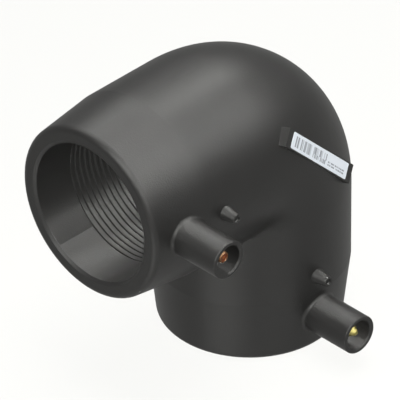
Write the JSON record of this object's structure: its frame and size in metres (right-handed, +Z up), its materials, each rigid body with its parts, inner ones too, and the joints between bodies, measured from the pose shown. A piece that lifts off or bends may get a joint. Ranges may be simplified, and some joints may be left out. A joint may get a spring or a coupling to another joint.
{
  "type": "electrofusion elbow",
  "caption": "Right-angle polyethylene pipe elbow with built-in heating coils, shrouded terminals and fusion indicators, welded onto two pipe ends by electric current.",
  "frame": {"origin": "centre of the lower socket's mouth, on which the elbow stands", "axes": "+Z up along the lower socket's axis, -X out of the upper socket's mouth, -Y the way both terminals point"},
  "size_m": [0.1097, 0.0857, 0.1097],
  "materials": {
    "body": "satin, very fine grain",
    "coil": "satin, wound turns of coated wire",
    "terminal_brass": "bright turned brass",
    "identification_plastic": "glossy orange",
    "identification_contact": "bright",
    "indicator": "satin",
    "wire": "copper-nickel wire",
    "label": "printed film"
  },
  "bodies": {
    "root": {"elbow_body": "body", "fusion_coil_upper": "coil", "fusion_coil_lower": "coil", "terminal_pin_upper": "terminal_brass", "terminal_pin_lower": "terminal_brass", "identification_plug": "identification_plastic", "identification_contact": "identification_contact", "indicator_pin_upper": "indicator", "indicator_pin_lower": "indicator", "lead_wire_upper": "wire", "lead_wire_lower": "wire", "link_wire": "wire", "label": "label"}
  },
  "joints": []
}
